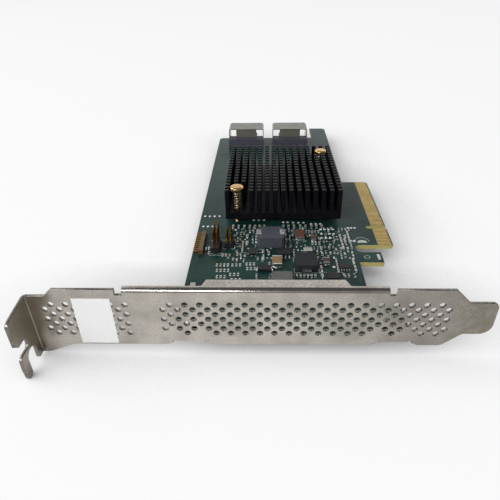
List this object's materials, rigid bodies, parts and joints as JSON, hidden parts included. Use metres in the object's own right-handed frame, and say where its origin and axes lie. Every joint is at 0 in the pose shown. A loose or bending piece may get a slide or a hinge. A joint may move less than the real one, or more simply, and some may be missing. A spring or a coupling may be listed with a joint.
{
  "type": "host bus adapter",
  "caption": "Plug-in storage controller card: stepped circuit board with gold edge contacts, black pin-fin heat sink and rear cable sockets, on a folded and vented steel bracket.",
  "frame": {"origin": "on the card edge's outer line, at the middle of the key notch and of the board's thickness", "axes": "+X is the way the card is pushed into its slot, +Y runs back from the bracket along the board, +Z leaves the component side"},
  "size_m": [0.1201, 0.1784, 0.0224],
  "materials": {
    "bracket_steel": "satin",
    "label_white": "matte",
    "screw_steel": "satin",
    "board_green": "satin",
    "contact_gold": "polished",
    "chip_black": "matte",
    "pad_grey": "matte",
    "sink_black": "black anodised",
    "pin_brass": "satin",
    "spring_steel": "satin",
    "shell_steel": "satin",
    "housing_plastic": "matte",
    "header_plastic": "matte",
    "core_grey": "matte",
    "core_dark": "matte",
    "terminal_tin": "satin",
    "capacitor_tan": "satin",
    "tantalum_brown": "matte",
    "shunt_brown": "matte",
    "oscillator_ceramic": "matte",
    "lid_steel": "satin",
    "resistor_black": "satin",
    "light_white": "gloss"
  },
  "bodies": {
    "root": {"bracket": "bracket_steel", "bracket_label": "label_white", "bracket_screws": "screw_steel", "circuit_board": "board_green", "contacts_component_side": "contact_gold", "contacts_solder_side": "contact_gold", "tall_header_pins": "contact_gold", "short_header_pins": "contact_gold", "edge_header_pins": "contact_gold", "controller_chip": "chip_black", "regulator_chip": "chip_black", "memory_chip": "chip_black", "logic_chip": "chip_black", "small_diode": "chip_black", "light_driver": "chip_black", "thermal_pad": "pad_grey", "heat_sink": "sink_black", "heat_sink_pins": "pin_brass", "heat_sink_springs": "spring_steel", "socket_1_shell": "shell_steel", "socket_2_shell": "shell_steel", "socket_1_housing": "housing_plastic", "socket_2_housing": "housing_plastic", "tall_header_base": "header_plastic", "short_header_base": "header_plastic", "edge_header_base": "header_plastic", "power_inductor_core": "core_grey", "filter_inductor_core": "core_dark", "power_inductor_clips": "terminal_tin", "filter_inductor_terminals": "terminal_tin", "regulator_leads": "terminal_tin", "memory_leads": "terminal_tin", "logic_leads": "terminal_tin", "bulk_capacitor": "capacitor_tan", "chip_capacitors": "capacitor_tan", "tantalum_capacitor": "tantalum_brown", "ferrite_bead": "tantalum_brown", "shunt_resistor": "shunt_brown", "oscillator_base": "oscillator_ceramic", "oscillator_lid": "lid_steel", "chip_resistors": "resistor_black", "status_light": "light_white"}
  },
  "joints": []
}
